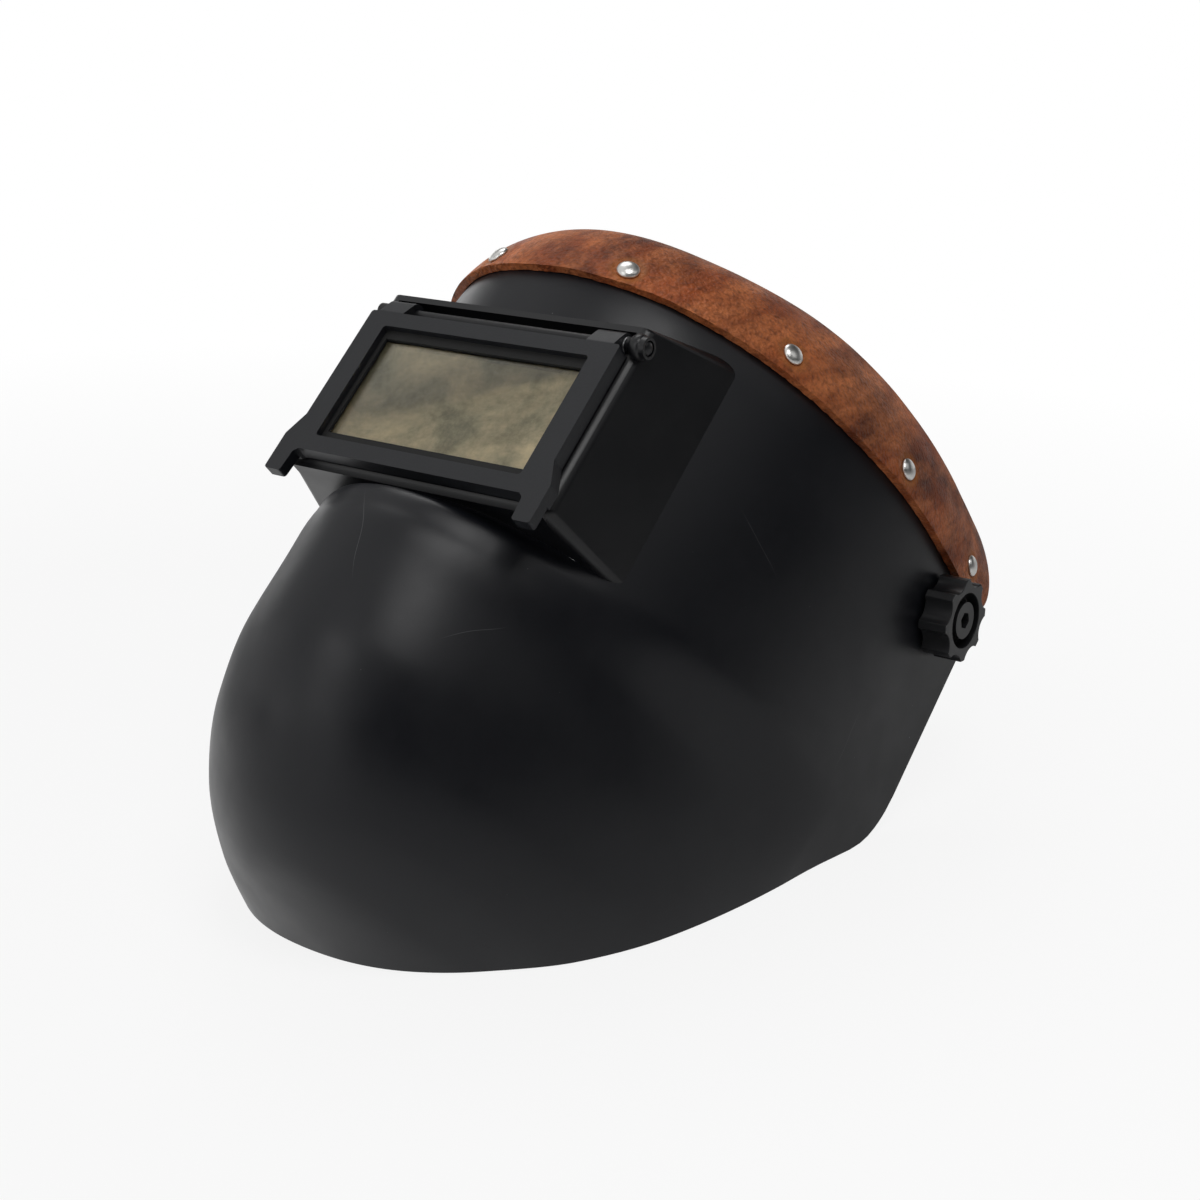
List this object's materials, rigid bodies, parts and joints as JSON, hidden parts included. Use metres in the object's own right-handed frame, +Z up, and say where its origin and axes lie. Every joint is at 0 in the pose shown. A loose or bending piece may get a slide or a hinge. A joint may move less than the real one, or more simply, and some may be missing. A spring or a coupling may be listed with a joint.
{
  "type": "welding helmet",
  "caption": "Black moulded welding helmet with a hinged lift-front lens holder, a riveted leather brow band and a ratchet head harness that the shell pivots on.",
  "frame": {"origin": "on the surface that the helmet rests on, under the middle of its bounding box", "axes": "+X to the wearer's left as seen from the front (right in the picture), -Y the way the window faces, +Z up; the helmet lies back on its jaw line"},
  "size_m": [0.2528, 0.3812, 0.2373],
  "materials": {
    "shell_plastic": "satin black moulded plastic with a fine grain, dusty and lightly scratched",
    "housing_plastic": "smooth satin black plastic",
    "frame_plastic": "matt bluish black plastic with a fine moulded texture",
    "pin_black": "black, satin",
    "steel": "plain zinc-plated steel",
    "black_rubber": "matt black rubber",
    "clear_glass": "clear plate glass",
    "filter_glass": "dark welding filter with a gold-bronze mirror coat",
    "spring_steel": "thin spring steel",
    "brown_leather": "red-brown grain leather with raw orange-brown edges",
    "nickel": "polished nickel-plated domes",
    "knob_plastic": "satin black plastic",
    "black_steel": "black oxide socket screw",
    "white_plastic": "plain off-white plastic",
    "harness_plastic": "black flexible plastic",
    "pad_fabric": "dark foam-backed cloth"
  },
  "bodies": {
    "helmet": {"shell": "shell_plastic", "lens_housing": "housing_plastic", "hinge_pin": "pin_black", "hinge_washers": "steel", "safety_gasket": "black_rubber", "safety_plate": "clear_glass", "safety_retainer": "spring_steel", "leather_band": "brown_leather", "band_rivets": "nickel", "rivet_washers": "steel", "outer_washers": "black_rubber", "inner_washers": "white_plastic"},
    "lift_front": {"lift_frame": "frame_plastic", "filter_gasket": "black_rubber", "cover_plate": "clear_glass", "filter_plate": "filter_glass", "filter_retainer": "spring_steel"},
    "left_knob": {"knob_left": "knob_plastic", "knob_screw_left": "black_steel"},
    "right_knob": {"knob_right": "knob_plastic", "knob_screw_right": "black_steel"},
    "harness": {"bracket_left": "harness_plastic", "bracket_right": "harness_plastic", "bracket_rivets": "harness_plastic", "pivot_nuts": "steel", "headband": "harness_plastic", "sweatband": "pad_fabric", "crown_strap_left": "harness_plastic", "crown_strap_right": "harness_plastic", "crown_peg": "harness_plastic", "ratchet_housing": "harness_plastic", "ratchet_backplate": "harness_plastic", "ratchet_screws": "steel", "rear_pad": "pad_fabric"},
    "adjuster": {"ratchet_knob": "knob_plastic", "ratchet_pinion": "white_plastic"}
  },
  "joints": [
    {"name": "lift_hinge", "type": "hinge", "parent": "helmet", "child": "lift_front", "pos_m": [0, -0.05697, 0.20695], "axis": [-1, 0, 0], "range_deg": [0, 105]},
    {"name": "harness_pivot", "type": "hinge", "parent": "helmet", "child": "harness", "pos_m": [0, 0.07853, 0.08252], "axis": [1, 0, 0], "range_deg": [-60, 30]},
    {"name": "left_knob_turn", "type": "hinge", "parent": "helmet", "child": "left_knob", "pos_m": [-0.1198, 0.07853, 0.08252], "axis": [1, 0, 0], "range_deg": [0, 300]},
    {"name": "right_knob_turn", "type": "hinge", "parent": "helmet", "child": "right_knob", "pos_m": [0.1198, 0.07853, 0.08252], "axis": [1, 0, 0], "range_deg": [-300, 0]},
    {"name": "adjuster_turn", "type": "hinge", "parent": "harness", "child": "adjuster", "pos_m": [0, 0.17693, 0.12426], "axis": [0, 0.9774, 0.2113], "continuous": true}
  ]
}
